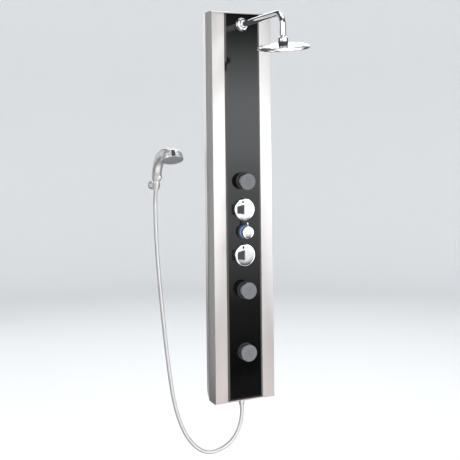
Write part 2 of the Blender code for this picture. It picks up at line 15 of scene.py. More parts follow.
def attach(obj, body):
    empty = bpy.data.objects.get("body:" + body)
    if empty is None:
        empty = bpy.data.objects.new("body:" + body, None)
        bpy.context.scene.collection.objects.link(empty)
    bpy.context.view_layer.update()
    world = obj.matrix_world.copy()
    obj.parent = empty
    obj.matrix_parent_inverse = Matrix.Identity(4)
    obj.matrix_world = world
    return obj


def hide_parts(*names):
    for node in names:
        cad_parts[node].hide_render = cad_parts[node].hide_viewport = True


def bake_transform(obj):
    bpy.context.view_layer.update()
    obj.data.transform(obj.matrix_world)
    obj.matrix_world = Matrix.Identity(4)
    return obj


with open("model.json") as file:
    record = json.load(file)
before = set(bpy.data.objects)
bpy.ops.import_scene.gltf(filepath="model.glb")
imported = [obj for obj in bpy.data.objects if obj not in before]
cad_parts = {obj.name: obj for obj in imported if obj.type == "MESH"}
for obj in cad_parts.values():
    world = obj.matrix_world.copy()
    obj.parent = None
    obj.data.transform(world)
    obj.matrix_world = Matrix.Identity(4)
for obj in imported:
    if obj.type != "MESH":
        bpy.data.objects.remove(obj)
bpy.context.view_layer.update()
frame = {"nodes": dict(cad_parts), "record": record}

RECORD = frame["record"]
BODY_OF = {node: body for body, nodes in RECORD["behaviour"]["bodies"].items() for node in nodes}
SLOT_OF = {row["node"]: row["material_slot"] for row in RECORD["subparts"]}

# Sizes that the CAD part has
PANEL_HEIGHT = 1.500
PANEL_WIDTH = 0.250
PANEL_OUT = 0.072
PANEL_TOP = 0.150
SHEET = 0.002
SIDE_OUT = 0.0085
FLARE = 0.0065
FLARE_SLANT = 0.038
EDGE_CHAMFER = 0.008
GLASS_WIDTH = 0.147
GLASS_HEIGHT = 1.485
GLASS = 0.0032
GAP = 0.0003
PANEL_BOTTOM = PANEL_TOP - PANEL_HEIGHT
GLASS_OUT = PANEL_OUT + GAP + GLASS
FRONT = GLASS_OUT + GAP
ARM_UP = 1.451
JETS_UP = (0.850, 0.429, 0.1925)
FLOW_UP = 0.7395
TEMPERATURE_UP = 0.654
DIVERTER_UP = 0.564
OUTLET_OUT = 0.034
ARM_RADIUS = 0.011
ARM_REACH = 0.412
ARM_BEND = 0.048
HEAD_PIVOT_UP = 1.358
HEAD_RADIUS = 0.092
HEAD_LEAN = math.radians(14)
LEAN_TOWARDS = Vector((-0.581, -0.814, 0)).normalized()
JET_OUT = 0.075
JET_REST = ((0, math.radians(-4)), (0, math.radians(4)), (math.radians(-4), math.radians(3)))
KNOB_RADIUS = 0.043
BRACKET_X = -0.346
BRACKET_UP = 0.841
HOLDER_OUT = 0.048
HOLDER_LEAN = math.radians(11)
FACE_OUT = 0.230
FACE_UP = 0.939
FACE_DOWN = math.radians(65)
FACE_TURN = math.radians(-7)
TAB_TURN = math.radians(95)
HOSE_RADIUS = 0.007
HOSE_ROUTE = (
    (0.0000, -0.0340, -1.3773), (0.0010, -0.0340, -1.4020), (-0.0080, -0.0340, -1.4510),
    (-0.0337, -0.0340, -1.4980), (-0.0773, -0.0340, -1.5290), (-0.1318, -0.0345, -1.5380),
    (-0.1813, -0.0350, -1.5180), (-0.2267, -0.0350, -1.4660), (-0.2587, -0.0350, -1.3960),
    (-0.2793, -0.0350, -1.3210), (-0.2940, -0.0350, -1.2320), (-0.3081, -0.0352, -1.1180),
    (-0.3212, -0.0355, -0.9910), (-0.3323, -0.0358, -0.8670), (-0.3411, -0.0360, -0.7440),
    (-0.3450, -0.0362, -0.6400), (-0.3460, -0.0375, -0.5640), (-0.3460, -0.0441, -0.5289),
)
OUTWARD = (math.pi / 2, 0, 0)




def up(height):
    """A height above the panel's lower edge, as z."""
    return PANEL_BOTTOM + height


def on_wall(x, height, out=0.0):
    """The point that far right of the panel's middle line, that high on it and that far out."""
    return Vector((x, -out, up(height)))


# Camera, floor and light

def make_camera():
    """The eye stands to the panel's left, level with its controls, and looks a little to the right."""
    data = bpy.data.cameras.new("camera")
    data.lens = 62.77
    data.sensor_width = 36
    data.shift_y = -0.199
    data.clip_end = 60
    camera = bpy.data.objects.new("camera", data)
    yaw, roll = math.radians(24.03), math.radians(-0.64)
    ahead = Vector((math.sin(yaw), math.cos(yaw), 0))
    right, above = Vector((math.cos(yaw), -math.sin(yaw), 0)), Vector((0, 0, 1))
    across = right * math.cos(roll) + above * math.sin(roll)
    upward = above * math.cos(roll) - right * math.sin(roll)
    camera.matrix_world = Matrix.Translation((-1.3051, -2.8784, -0.337)) @ Matrix(
        (across, upward, -ahead)).transposed().to_4x4()
    bpy.context.scene.collection.objects.link(camera)
    bpy.context.scene.camera = camera


def area_light(name, place, target, size, radiance, colour=(1, 1, 1), reflected=True):
    """A soft box of that size and radiance. Where it isn't reflected, it only fills the shadows."""
    data = bpy.data.lights.new(name, "AREA")
    data.shape = "RECTANGLE"
    data.size, data.size_y = size
    data.energy = radiance * math.pi * size[0] * size[1]
    data.color = colour
    lamp = bpy.data.objects.new(name, data)
    lamp.location = place
    lamp.rotation_euler = (Vector(target) - Vector(place)).to_track_quat("-Z", "Y").to_euler()
    lamp.visible_camera = False
    lamp.visible_glossy = reflected
    bpy.context.scene.collection.objects.link(lamp)


def make_room():
    """A pale floor that sweeps up all round into a pale wall."""
    low, wall, sweep, high, sides = -1.98, 8.0, 2.5, 9.0, 96
    profile = [(0.5, low), (wall - sweep, low)]
    profile += [(wall - sweep + sweep * math.sin(a), low + sweep - sweep * math.cos(a))
                for a in (math.pi / 2 * i / 16 for i in range(1, 17))]
    profile += [(wall, high)]
    work = bmesh.new()
    angles = [2 * math.pi * k / sides for k in range(sides)]
    rings = [[work.verts.new((r * math.cos(a), r * math.sin(a), z)) for a in angles] for r, z in profile]
    for one, two in zip(rings, rings[1:]):
        for k in range(sides):
            work.faces.new((one[k], two[k], two[(k + 1) % sides], one[(k + 1) % sides])).smooth = True
    work.faces.new(rings[0])
    data = bpy.data.meshes.new("floor")
    work.to_mesh(data)
    work.free()
    floor = bpy.data.objects.new("floor", data)
    floor.visible_glossy = floor.visible_shadow = False
    bpy.context.scene.collection.objects.link(floor)
    matte = bpy.data.materials.new("pale_floor")
    matte.use_nodes = True
    shader = matte.node_tree.nodes["Principled BSDF"]
    shader.inputs["Base Color"].default_value = (0.62, 0.63, 0.64, 1)
    shader.inputs["Roughness"].default_value = 0.9
    data.materials.append(matte)


def glowing_card(name, y, columns, rows, radiance, colour):
    """A diffuser standing in the plane y, its glow set row by row."""
    work = bmesh.new()
    glow = work.verts.layers.float.new("glow")
    grid = []
    for z, share in rows:
        line = []
        for x in columns:
            vert = work.verts.new((x, y, z))
            vert[glow] = share
            line.append(vert)
        grid.append(line)
    for low, high in zip(grid, grid[1:]):
        for a, b, c, d in zip(low, low[1:], high[1:], high):
            work.faces.new((a, b, c, d))
    matter = bpy.data.materials.new(name)
    matter.use_nodes = True
    tree = matter.node_tree
    tree.nodes.remove(tree.nodes["Principled BSDF"])
    shine, level = tree.nodes.new("ShaderNodeEmission"), tree.nodes.new("ShaderNodeAttribute")
    strength = tree.nodes.new("ShaderNodeMath")
    strength.operation = "MULTIPLY"
    strength.inputs[1].default_value = radiance
    level.attribute_name = "glow"
    shine.inputs["Color"].default_value = (*colour, 1)
    tree.links.new(level.outputs["Fac"], strength.inputs[0])
    tree.links.new(strength.outputs[0], shine.inputs["Strength"])
    tree.links.new(shine.outputs[0], tree.nodes["Material Output"].inputs["Surface"])
    studio_card(name, work, matter)


def studio_card(name, work, matter):
    """A card that shows in reflections only."""
    data = bpy.data.meshes.new(name)
    work.to_mesh(data)
    work.free()
    data.materials.append(matter)
    card = bpy.data.objects.new(name, data)
    card.visible_camera = card.visible_shadow = card.visible_diffuse = False
    bpy.context.scene.collection.objects.link(card)


def dark_flag(name, height, lower):
    """A small black flag in front of a flat knob, which mirrors it left of its middle."""
    out, aside, wide, tall = 0.206, 0.0300, 0.046, 0.040
    middle = on_wall(aside, height - lower, out)
    work = bmesh.new()
    corners = [work.verts.new(middle + Vector((x * wide / 2, 0, z * tall / 2)))
               for x, z in ((-1, -1), (1, -1), (1, 1), (-1, 1))]
    work.faces.new(corners)
    matter = bpy.data.materials.new(name)
    matter.use_nodes = True
    shader = matter.node_tree.nodes["Principled BSDF"]
    shader.inputs["Base Color"].default_value = (0.01, 0.01, 0.01, 1)
    shader.inputs["Roughness"].default_value = 0.95
    shader.inputs["Specular IOR Level"].default_value = 0.0
    shader.inputs["Emission Color"].default_value = (0.95, 0.97, 1.0, 1)
    shader.inputs["Emission Strength"].default_value = 0.09
    studio_card(name, work, matter)


def make_light():
    """A dark surround, soft boxes for the metal to reflect, and fill light that it doesn't reflect.

    The glass mirrors only the first card, whose glow fades towards both ends.
    """
    world = bpy.data.worlds.new("studio")
    world.use_nodes = True
    world.node_tree.nodes["Background"].inputs["Color"].default_value = (0.085, 0.087, 0.091, 1)
    bpy.context.scene.world = world
    bpy.context.scene.view_settings.view_transform = "Standard"
    middle, panel_middle = (0, -0.07, -0.6), (0, -0.07, -0.45)
    cool, warm, pink = (0.97, 0.99, 1.0), (1.0, 0.955, 0.935), (1.0, 0.88, 0.86)
    fade = ((-2.60, 0.0), (-2.33, 0.015), (-2.19, 0.035), (-1.90, 0.055), (-1.75, 0.15), (-1.61, 0.21),
            (-1.42, 0.30), (-1.18, 0.40), (-0.90, 0.45), (-0.65, 0.56), (-0.46, 0.72), (-0.17, 0.77),
            (0.02, 0.77), (0.21, 0.60), (0.40, 0.41), (0.60, 0.16), (0.74, 0.06), (0.90, 0.0))
    glowing_card("mirror_card", -4.2, (1.25, 2.70), fade, 3.6, cool)
    area_light("steel_right", (3.55, -3.8, -0.45), panel_middle, (1.5, 5.8), 3.1, cool)
    area_light("steel_near", (0.5, -4.6, -0.45), panel_middle, (1.3, 5.8), 2.9, warm)
    area_light("front_left", (-1.9, -4.2, 0.4), middle, (2.6, 5.6), 1.6, cool)
    area_light("left_strip", (-3.8, -1.2, 0.2), middle, (1.8, 3.4), 2.2)
    area_light("overhead", (0.6, -0.7, 3.4), middle, (3.6, 3.6), 1.7)
    area_light("low_card", (-0.5, -0.85, -1.93), (-0.5, -0.85, 0), (3.2, 1.3), 0.9, pink)
    area_light("side_card", (-1.9, 4.0, -0.6), (-0.12, 0, -0.6), (2.8, 4.2), 0.5)
    area_light("head_card", (1.9, 3.2, 1.75), (0, -0.4, 0), (3.0, 2.0), 2.6)
    area_light("ceiling", (0, 0, 7.5), (0, 0, 0), (9, 9), 3.2, reflected=False)
    area_light("front_fill", (-2.5, -5.0, 1.6), middle, (3.0, 3.0), 1.0, reflected=False)
    area_light("left_fill", (-4.5, -1.8, 0.2), middle, (2.5, 3.0), 2.6, reflected=False)
    dark_flag("flow_flag", FLOW_UP, 0.0117)
    dark_flag("diverter_flag", DIVERTER_UP, 0.0192)


# Materials

def surface(name, dark, light, roughness, metallic=0.0, grain=(300, 300, 300), spread=0.06, bump=0.1,
            depth=0.0001, wear=None, blotch=9.0, **sockets):
    """A Principled material with fine grain, broad roughness patches and, if asked, wear on its edges."""
    made = bpy.data.materials.new(name)
    made.use_nodes = True
    tree = made.node_tree
    link, new = tree.links.new, tree.nodes.new
    shader = tree.nodes["Principled BSDF"]
    shader.inputs["Metallic"].default_value = metallic
    for socket, value in sockets.items():
        shader.inputs[socket.replace("_", " ")].default_value = value
    place = new("ShaderNodeTexCoord")

    def noise(scale, detail):
        size = new("ShaderNodeMapping")
        size.inputs["Scale"].default_value = scale
        link(place.outputs["Object"], size.inputs["Vector"])
        made_noise = new("ShaderNodeTexNoise")
        made_noise.inputs["Scale"].default_value = 1.0
        made_noise.inputs["Detail"].default_value = detail
        link(size.outputs["Vector"], made_noise.inputs["Vector"])
        return made_noise.outputs["Fac"]

    fine = noise(grain, 4)
    broad = noise((blotch, blotch, blotch), 5)
    colour = new("ShaderNodeMix")
    colour.data_type = "RGBA"
    colour.inputs["A"].default_value = (*dark, 1)
    colour.inputs["B"].default_value = (*light, 1)
    mixed = new("ShaderNodeMath")
    mixed.operation = "MULTIPLY_ADD"
    mixed.inputs[1].default_value = 0.5
    half = new("ShaderNodeMath")
    half.operation = "MULTIPLY"
    half.inputs[1].default_value = 0.5
    link(broad, half.inputs[0])
    link(fine, mixed.inputs[0])
    link(half.outputs[0], mixed.inputs[2])
    link(mixed.outputs[0], colour.inputs["Factor"])
    result = colour.outputs["Result"]
    if wear:
        shape = new("ShaderNodeNewGeometry")
        edge = new("ShaderNodeMapRange")
        edge.inputs["From Min"].default_value = 0.53
        edge.inputs["From Max"].default_value = 0.62
        link(shape.outputs["Pointiness"], edge.inputs["Value"])
        worn = new("ShaderNodeMix")
        worn.data_type = "RGBA"
        worn.inputs["B"].default_value = (*wear, 1)
        link(edge.outputs["Result"], worn.inputs["Factor"])
        link(result, worn.inputs["A"])
        result = worn.outputs["Result"]
    link(result, shader.inputs["Base Color"])
    rough = new("ShaderNodeMapRange")
    rough.inputs["From Min"].default_value = 0.3
    rough.inputs["From Max"].default_value = 0.7
    rough.inputs["To Min"].default_value = max(0.0, roughness - spread)
    rough.inputs["To Max"].default_value = roughness + spread
    link(broad, rough.inputs["Value"])
    link(rough.outputs["Result"], shader.inputs["Roughness"])
    relief = new("ShaderNodeBump")
    relief.inputs["Strength"].default_value = bump
    relief.inputs["Distance"].default_value = depth
    link(fine, relief.inputs["Height"])
    link(relief.outputs["Normal"], shader.inputs["Normal"])
    return made


LOOKS = {
    "steel": surface("brushed_steel_look", (0.60, 0.59, 0.585), (0.74, 0.73, 0.725), 0.40, 1.0,
                     grain=(1400, 1400, 9), spread=0.03, bump=0.30, depth=0.00010, blotch=5.0,
                     Anisotropic=0.6),
    "glass": surface("black_glass_look", (0.0012, 0.0012, 0.0014), (0.0026, 0.0026, 0.0030), 0.07, 0.0,
                     grain=(60, 60, 60), spread=0.035, bump=0.02, depth=0.00005, blotch=14.0,
                     IOR=1.52),
    "chrome": surface("polished_chrome_look", (0.80, 0.81, 0.82), (0.90, 0.91, 0.92), 0.06, 1.0,
                      grain=(500, 500, 500), spread=0.02, bump=0.02, depth=0.00004, blotch=22.0),
    "soft": surface("soft_chrome_look", (0.76, 0.77, 0.78), (0.86, 0.865, 0.87), 0.30, 0.86,
                    grain=(600, 600, 600), spread=0.04, bump=0.02, depth=0.00004, blotch=30.0),
    "satin": surface("satin_chrome_look", (0.80, 0.81, 0.83), (0.90, 0.91, 0.92), 0.24, 1.0,
                     grain=(500, 500, 500), spread=0.05, bump=0.03, depth=0.00004, blotch=40.0),
    "black": surface("black_plastic_look", (0.010, 0.010, 0.011), (0.028, 0.028, 0.030), 0.38, 0.0,
                     grain=(900, 900, 900), spread=0.08, bump=0.2, depth=0.00008, wear=(0.07, 0.07, 0.075)),
    "jet": surface("grey_jet_look", (0.088, 0.092, 0.099), (0.126, 0.131, 0.139), 0.46, 0.0,
                   grain=(1100, 1100, 1100), spread=0.07, bump=0.25, depth=0.00008, wear=(0.30, 0.31, 0.32)),
    "spray": surface("spray_face_look", (0.150, 0.154, 0.160), (0.195, 0.200, 0.206), 0.42, 0.0,
                     grain=(1000, 1000, 1000), spread=0.06, bump=0.2, depth=0.00006,
                     wear=(0.34, 0.35, 0.36)),
    "rubber": surface("nozzle_rubber_look", (0.10, 0.105, 0.11), (0.15, 0.155, 0.16), 0.6, 0.0,
                      grain=(1500, 1500, 1500), spread=0.08, bump=0.3, depth=0.00005),
    "stripe": surface("dark_stripe_look", (0.045, 0.047, 0.052), (0.075, 0.078, 0.084), 0.35, 0.0,
                      grain=(900, 900, 900), spread=0.07, bump=0.15, depth=0.00006,
                      wear=(0.20, 0.20, 0.21)),
    "blue": surface("blue_band_look", (0.006, 0.060, 0.25), (0.014, 0.105, 0.37), 0.34, 0.0,
                    grain=(800, 800, 800), spread=0.06, bump=0.08, depth=0.00005,
                    wear=(0.12, 0.26, 0.48)),
    "white": surface("pale_band_look", (0.70, 0.72, 0.74), (0.82, 0.84, 0.85), 0.32, 0.0,
                     grain=(800, 800, 800), spread=0.06, bump=0.08, depth=0.00005),
    "brass": surface("cast_brass_look", (0.42, 0.29, 0.12), (0.66, 0.50, 0.25), 0.36, 1.0,
                     grain=(260, 260, 260), spread=0.12, bump=0.35, depth=0.0003, blotch=30.0,
                     wear=(0.80, 0.64, 0.36)),
    # Real seal rubber, and also the dark floor of every nozzle hole, where it is painted shade.
    "seal": surface("seal_rubber_and_hole_shade_look", (0.018, 0.018, 0.018), (0.035, 0.035, 0.035), 0.72, 0.0,
                    grain=(700, 700, 700), spread=0.1, bump=0.3, depth=0.0001),
    "zinc": surface("zinc_plate_look", (0.44, 0.45, 0.47), (0.64, 0.65, 0.67), 0.42, 1.0,
                    grain=(90, 90, 90), spread=0.1, bump=0.15, depth=0.0001, blotch=40.0,
                    wear=(0.75, 0.76, 0.78)),
    "hose": surface("wound_hose_look", (0.66, 0.67, 0.69), (0.84, 0.85, 0.86), 0.50, 1.0,
                    grain=(700, 700, 700), spread=0.07, bump=0.12, depth=0.00008, blotch=30.0),
}
SLOT_LOOKS = {
    "brushed_steel": "steel", "black_glass": "glass", "zinc": "zinc", "chrome": "chrome", "brass": "brass",
    "black_plastic": "black", "jet_plastic": "jet", "spray_face": "spray", "blue_band": "blue",
    "hose": "hose", "seal": "seal",
}


# Shapes

def placed(at, turn=(0, 0, 0)):
    """The placement of a piece whose own +Z is turned by those three angles."""
    return Matrix.Translation(at) @ Euler(turn).to_matrix().to_4x4()


def show(name, data, look, node=None, place=None, body=None, sharp=35):
    """A piece of the visual model: it stands for its node and rides on that node's body, or on body."""
    piece = bpy.data.objects.new(name, data)
    bpy.context.scene.collection.objects.link(piece)
    piece.matrix_world = place or Matrix.Identity(4)
    for one in (look,) if isinstance(look, str) else look:
        data.materials.append(LOOKS[one])
    for face in data.polygons:
        face.use_smooth = True
    data.set_sharp_from_angle(angle=math.radians(sharp))
    if node or body:
        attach(piece, body or BODY_OF[node])
    if node:
        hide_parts(node)
    return piece


def closed(work):
    """The mesh of that work, with its faces turned outward."""
    data = bpy.data.meshes.new("shape")
    bmesh.ops.recalc_face_normals(work, faces=work.faces)
    work.to_mesh(data)
    work.free()
    return data


def softened(profile, radius):
    """The profile with each corner off the axis turned into a small rounded one."""
    loop = profile[0][0] > 0 or profile[-1][0] > 0
    points = [Vector(p) for p in profile]
    count, made = len(points), []
    for i, here in enumerate(points):
        if here.x < 1e-6 or (not loop and i in (0, count - 1)):
            made.append(tuple(here))
            continue
        before, after = points[i - 1], points[(i + 1) % count]
        back, ahead = before - here, after - here
        if min(back.length, ahead.length) < 1e-6 or back.angle(ahead) > math.radians(172):
            made.append(tuple(here))
            continue
        first = here + back.normalized() * min(radius, 0.42 * back.length)
        last = here + ahead.normalized() * min(radius, 0.42 * ahead.length)
        for t in (0, 0.33, 0.67, 1):
            made.append(tuple(first * (1 - t) ** 2 + here * 2 * t * (1 - t) + last * t**2))
    return made


def unchanged(angle, radius, height):
    return radius, height


def lathe(profile, segments=72, soft=0.0006, twist=unchanged, paint=None):
    """A profile of (radius, height) points turned about Z, its corners softened first.

    twist(angle, radius, height) may move a point, and paint(centre) picks a face's material slot.
    """
    work = bmesh.new()
    profile = softened(profile, soft) if soft else profile
    loop = profile[0][0] > 1e-6 or profile[-1][0] > 1e-6
    rings = []
    for radius, height in profile:
        if radius < 1e-6:
            rings.append([work.verts.new((0, 0, height))])
            continue
        ring = []
        for k in range(segments):
            angle = 2 * math.pi * k / segments
            r, h = twist(angle, radius, height)
            ring.append(work.verts.new((r * math.cos(angle), r * math.sin(angle), h)))
        rings.append(ring)
    pairs = list(zip(rings, rings[1:])) + ([(rings[-1], rings[0])] if loop else [])
    for one, two in pairs:
        for k in range(segments):
            j = (k + 1) % segments
            if len(one) == len(two) == 1:
                break
            if len(one) == 1:
                work.faces.new((one[0], two[k], two[j]))
            elif len(two) == 1:
                work.faces.new((one[k], two[0], one[j]))
            else:
                work.faces.new((one[k], two[k], two[j], one[j]))
    if paint:
        for face in work.faces:
            face.material_index = paint(face.calc_center_median())
    return closed(work)


def ball_arc(radius, start, end, steps=10):
    """The outline of a ball between two heights."""
    first, last = math.acos(start / radius), math.acos(end / radius)
    angles = [first + (last - first) * i / steps for i in range(steps + 1)]
    return [(radius * math.sin(a), radius * math.cos(a)) for a in angles]


def smooth_path(route, step):
    """Points about one step apart on a Catmull-Rom curve through the route."""
    knots = [Vector(place) for place in route]
    knots = [2 * knots[0] - knots[1], *knots, 2 * knots[-1] - knots[-2]]
    points = []
    for a, b, c, d in zip(knots, knots[1:], knots[2:], knots[3:]):
        count = max(1, round((c - b).length / step))
        for i in range(count):
            t = i / count
            points.append(
                0.5 * (2 * b + (c - a) * t + (2 * a - 5 * b + 4 * c - d) * t**2
                       + (3 * b - 3 * c + d - a) * t**3)
            )
    return [*points, knots[-2]]


def rounded_path(corners, radius, steps=5):
    """A path of straight runs with each corner rounded."""
    corners = [Vector(place) for place in corners]
    points = [corners[0]]
    for before, corner, after in zip(corners, corners[1:], corners[2:]):
        inward = (before - corner).normalized()
        outward = (after - corner).normalized()
        half = inward.angle(outward) / 2
        back = radius / math.tan(half)
        centre = corner + (inward + outward).normalized() * radius / math.sin(half)
        first = corner + inward * back - centre
        last = corner + outward * back - centre
        sweep = first.angle(last)
        for i in range(steps + 1):
            share = i / steps
            points.append(
                centre + (first * math.sin((1 - share) * sweep) + last * math.sin(share * sweep))
                / math.sin(sweep)
            )
    return [*points, corners[-1]]


def even_path(points, step):
    """The same path in equal steps, with each point's distance from the start."""
    lengths = [0.0]
    for a, b in zip(points, points[1:]):
        lengths.append(lengths[-1] + (b - a).length)
    count = max(2, round(lengths[-1] / step))
    made, at = [], 0
    for i in range(count + 1):
        goal = lengths[-1] * i / count
        while at < len(points) - 2 and lengths[at + 1] < goal:
            at += 1
        share = (goal - lengths[at]) / max(lengths[at + 1] - lengths[at], 1e-9)
        made.append((points[at].lerp(points[at + 1], share), goal))
    return made


def swept(path, radius, sides):
    """A closed tube along the path; radius(distance, angle) gives its surface, with angle 0 at +X."""
    work = bmesh.new()
    count = len(path)
    side, rings = Vector((1, 0, 0)), []
    for i, (point, distance) in enumerate(path):
        along = (path[min(i + 1, count - 1)][0] - path[max(i - 1, 0)][0]).normalized()
        side = (side - along * side.dot(along)).normalized()
        other = along.cross(side)
        ring = []
        for k in range(sides):
            angle = 2 * math.pi * k / sides
            reach = radius(distance, angle)
            ring.append(work.verts.new(point + (side * math.cos(angle) + other * math.sin(angle)) * reach))
        rings.append(ring)
    for one, two in zip(rings, rings[1:]):
        for k in range(sides):
            work.faces.new((one[k], one[(k + 1) % sides], two[(k + 1) % sides], two[k]))
    for ring in (rings[0], rings[-1]):
        centre = work.verts.new(sum((v.co for v in ring), Vector()) / sides)
        for k in range(sides):
            work.faces.new((ring[k], ring[(k + 1) % sides], centre))
    return closed(work)


def cutter(data, place=None):
    """A temporary object for a Boolean."""
    made = bpy.data.objects.new("cutter", data)
    made.matrix_world = place or Matrix.Identity(4)
    bpy.context.scene.collection.objects.link(made)
    return made


def carved(data, others, how="DIFFERENCE", place=None, before=()):
    """The mesh after Booleans with the other meshes. Everything temporary is removed again."""
    base = cutter(data, place)
    for change in before:
        change(base)
    helpers = []
    for other, where in others:
        tool = cutter(other, where)
        step = base.modifiers.new("step", "BOOLEAN")
        step.operation, step.object = how, tool
        helpers.append(tool)
    bpy.context.view_layer.update()
    made = bpy.data.meshes.new_from_object(base.evaluated_get(bpy.context.evaluated_depsgraph_get()))
    for helper in [base, *helpers]:
        bpy.data.objects.remove(helper)
    return made


def rod(start, end, radius, segments=64):
    """A plain cylinder from start to end."""
    start, end = Vector(start), Vector(end)
    along = end - start
    work = bmesh.new()
    place = Matrix.Translation((start + end) / 2) @ along.to_track_quat("Z", "Y").to_matrix().to_4x4()
    bmesh.ops.create_cone(work, cap_ends=True, segments=segments, radius1=radius, radius2=radius,
                          depth=along.length, matrix=place)
    return closed(work)


def box_in(work, low, high):
    """A box between those two corners, added to work."""
    low, high = Vector(low), Vector(high)
    place = Matrix.Translation((low + high) / 2) @ Matrix.Diagonal((*(high - low), 1))
    bmesh.ops.create_cube(work, size=1, matrix=place)


# Hose

def make_hose():
    """The wound steel hose as a tube with a shallow helical groove."""
    length_step, turn_pitch, groove = 0.0011, 0.0044, 0.00055
    path = even_path(smooth_path(HOSE_ROUTE, 0.004), length_step)

    def wound(distance, angle):
        wave = 0.5 + 0.5 * math.cos(2 * math.pi * distance / turn_pitch - angle)
        return HOSE_RADIUS - groove * wave**3

    hose = show("wound_hose", swept(path, wound, 18), "hose", sharp=80)
    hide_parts("shower_hose")
    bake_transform(hose)
    return hose, [point for point, _ in path[::8]] + [path[-1][0]], path[-1][1]


make_camera()
make_room()
make_light()
hose, hose_line, hose_length = make_hose()


# Panel

def front_holes():
    """What goes through the front: the arm, the knobs' spindles and the jets."""
    sizes = [(ARM_UP, 0.0120), (FLOW_UP, 0.0142), (TEMPERATURE_UP, 0.0175), (DIVERTER_UP, 0.0142)]
    sizes += [(height, 0.0260) for height in JETS_UP]
    return [(rod(on_wall(0, height, 0.055), on_wall(0, height, 0.095), radius), None)
            for height, radius in sizes]


def make_shell():
    """The folded pan: rounded vertical folds, chamfered ends, and rear edges that turn out."""
    half = PANEL_WIDTH / 2
    work = bmesh.new()
    box_in(work, (-half, -PANEL_OUT, PANEL_BOTTOM), (half, -SIDE_OUT, PANEL_TOP))
    back = max(work.faces, key=lambda face: face.calc_center_median().y)
    bmesh.ops.delete(work, geom=[back], context="FACES_ONLY")
    for side in (-1, 1):
        rear = [e for e in work.edges if all(v.co.y > -SIDE_OUT - 1e-4 and v.co.x * side > half - 1e-4
                                             for v in e.verts)]
        grown = bmesh.ops.extrude_edge_only(work, edges=rear)["geom"]
        for corner in (g for g in grown if isinstance(g, bmesh.types.BMVert)):
            slant = FLARE_SLANT if corner.co.z < 0 else 0
            corner.co += Vector((side * FLARE, FLARE, slant))
    front = [e for e in work.edges if all(v.co.y < -PANEL_OUT + 1e-4 for v in e.verts)]
    level = [e for e in front if abs(e.verts[0].co.z - e.verts[1].co.z) < 1e-4]
    bmesh.ops.bevel(work, geom=level, offset=EDGE_CHAMFER, offset_type="OFFSET", segments=2, profile=0.5,
                    affect="EDGES")
    folds = [e for e in work.edges if abs(e.verts[0].co.z - e.verts[1].co.z) > 0.5
             and all(v.co.y < -PANEL_OUT + 1e-4 for v in e.verts)]
    bmesh.ops.bevel(work, geom=folds, offset=0.0022, offset_type="OFFSET", segments=4, profile=0.5,
                    affect="EDGES")

    def sheet(base):
        wall = base.modifiers.new("sheet", "SOLIDIFY")
        wall.thickness = SHEET
        wall.offset = -1
        wall.solidify_mode = "NON_MANIFOLD"
        wall.nonmanifold_thickness_mode = "CONSTRAINTS"

    outlet = rod(on_wall(0, -0.010, OUTLET_OUT), on_wall(0, 0.010, OUTLET_OUT), 0.0092, 32)
    data = carved(closed(work), [*front_holes(), (outlet, None)], before=[sheet])
    show("brushed_shell", data, "steel", "column_shell", sharp=28)


def make_glass():
    """The pane, with a wide shallow polished bevel all round its front."""
    half, margin = GLASS_WIDTH / 2, (PANEL_HEIGHT - GLASS_HEIGHT) / 2
    low, high = PANEL_BOTTOM + margin, PANEL_TOP - margin
    back, front = -PANEL_OUT - GAP, -GLASS_OUT
    bevel, drop = 0.007, 0.0014
    work = bmesh.new()
    rings = []
    for inset, y in ((0.0003, back), (0, back - 0.0003), (0, front + drop), (bevel, front)):
        side, foot, head = half - inset, low + inset, high - inset
        rings.append([work.verts.new((x, y, z))
                      for x, z in ((-side, foot), (side, foot), (side, head), (-side, head))])
    for one, two in zip(rings, rings[1:]):
        for k in range(4):
            work.faces.new((one[k], one[(k + 1) % 4], two[(k + 1) % 4], two[k]))
    work.faces.new(rings[0])
    work.faces.new(rings[-1])
    show("bevelled_glass", carved(closed(work), front_holes()), "glass", "glass_fascia", sharp=8)


make_shell()
make_glass()


# Arm and rain head

def head_pivot():
    return Vector((0, -ARM_REACH, up(HEAD_PIVOT_UP)))


def make_arm():
    """The arm runs straight out, bends once and ends above the head's ball."""
    corners = (on_wall(0, ARM_UP, 0.0453), on_wall(0, ARM_UP, ARM_REACH),
               head_pivot() + Vector((0, 0, 0.0105)))
    path = even_path(rounded_path(corners, ARM_BEND, 40), 0.004)
    total = path[-1][1]

    def reach(distance, angle):
        return ARM_RADIUS - (0.0008 if total - distance < 0.0015 else 0)

    show("chrome_arm", swept(path, reach, 48), "chrome", "shower_arm")
    show("stepped_flange", lathe([
        (0.0215, FRONT + 0.0098), (0.0236, FRONT + 0.0055), (0.0240, FRONT + 0.0032),
        (0.0255, FRONT + 0.0025), (0.0255, FRONT), (ARM_RADIUS + GAP, FRONT),
        (ARM_RADIUS + GAP, FRONT + 0.011), (0.0180, FRONT + 0.011),
    ], 96, 0.0010), "chrome", "arm_flange", place=placed(on_wall(0, ARM_UP), OUTWARD))


